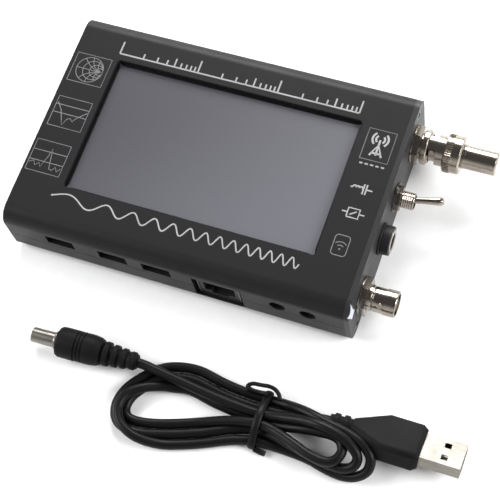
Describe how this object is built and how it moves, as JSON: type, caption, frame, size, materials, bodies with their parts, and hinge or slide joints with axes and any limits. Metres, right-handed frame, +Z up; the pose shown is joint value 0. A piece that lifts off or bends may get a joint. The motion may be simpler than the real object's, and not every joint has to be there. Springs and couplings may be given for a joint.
{
  "type": "handheld vector network analyzer",
  "caption": "Handheld analyzer in a split black aluminium case with a large screen, coaxial ports on one end, a terminating load and a charging lead.",
  "frame": {"origin": "middle of the case's flat underside, on the surface that it lies on", "axes": "+X towards the end with the connectors, -Y towards the side with the port cut-outs, +Z up out of the display"},
  "size_m": [0.1818, 0.1477, 0.027],
  "materials": {
    "anodised_black": "satin black anodised extrusion",
    "anodised_grey": "satin dark grey anodised plate",
    "bare_aluminium": "milled",
    "black_screw": "black oxide",
    "nickel_plate": "bright nickel plate",
    "tinned_steel": "bright tinned sheet",
    "brass": "turned",
    "gold_contact": "gold flashed",
    "ptfe": "waxy white",
    "screen": "matt film over a dark display",
    "display_glass": "dark glass",
    "foam_black": "closed cell foam",
    "board_green": "solder mask",
    "radio_blue": "solder mask",
    "flex_amber": "polyimide film",
    "chip_black": "moulded epoxy",
    "pouch_foil": "laminated foil",
    "switch_blue": "moulded",
    "cable_pvc": "satin black PVC"
  },
  "bodies": {
    "case": {"upper_shell": "anodised_black", "lower_shell": "anodised_black", "left_end_panel": "anodised_black", "right_end_panel": "anodised_grey", "corner_insert": "bare_aluminium", "end_panel_screws": "black_screw", "window_gasket": "foam_black", "touch_panel": "screen", "lcd_panel": "display_glass", "lcd_frame": "tinned_steel", "lcd_flex": "flex_amber", "display_tape": "ptfe", "main_board": "board_green", "main_board_chips": "chip_black", "flex_connector": "ptfe", "usb_socket_left": "tinned_steel", "usb_socket_middle": "tinned_steel", "usb_socket_right": "tinned_steel", "usb_socket_tongues": "chip_black", "network_jack": "tinned_steel", "network_jack_insert": "chip_black", "audio_jack_left": "chip_black", "audio_jack_right": "chip_black", "board_headers": "chip_black", "standoffs": "brass", "board_screws": "tinned_steel", "rf_board": "board_green", "rf_board_chips": "chip_black", "rf_shield": "tinned_steel", "radio_module": "radio_blue", "battery_pouch": "pouch_foil", "battery_pad": "ptfe", "port_one_jack": "nickel_plate", "port_one_insulator": "ptfe", "port_one_contact": "gold_contact", "port_one_nut": "nickel_plate", "port_two_jack": "nickel_plate", "port_two_insulator": "ptfe", "port_two_contact": "gold_contact", "port_two_nut": "nickel_plate", "toggle_bushing": "nickel_plate", "toggle_case": "switch_blue", "toggle_terminals": "gold_contact", "toggle_nut": "nickel_plate", "dc_jack_body": "chip_black", "dc_jack_nut": "chip_black", "dc_jack_pin": "tinned_steel"},
    "lever": {"toggle_lever": "nickel_plate"},
    "load": {"load_body": "nickel_plate", "load_pin": "gold_contact", "load_insulator": "ptfe"},
    "collar": {"load_collar": "nickel_plate"},
    "lead": {"dc_plug_barrel": "tinned_steel", "dc_plug_boot": "cable_pvc", "lead_tail": "cable_pvc", "lead_hank": "cable_pvc", "lead_tie": "cable_pvc", "lead_end": "cable_pvc", "usb_plug_housing": "cable_pvc", "usb_plug_shell": "tinned_steel"}
  },
  "joints": [
    {"name": "toggle_throw", "type": "hinge", "parent": "case", "child": "lever", "pos_m": [0.0695, 0.0085, 0.014], "axis": [0, 0, -1], "range_deg": [0, 25]},
    {"name": "load_pull", "type": "slide", "parent": "case", "child": "load", "axis": [1, 0, 0], "range_m": [0, 0.02]},
    {"name": "collar_turn", "type": "hinge", "parent": "load", "child": "collar", "pos_m": [0.084, 0.031, 0.014], "axis": [-1, 0, 0], "range_deg": [0, 90]},
    {"name": "lead_move", "type": "slide", "parent": "case", "child": "lead", "axis": [0, -1, 0], "range_m": [0, 0.06]}
  ]
}
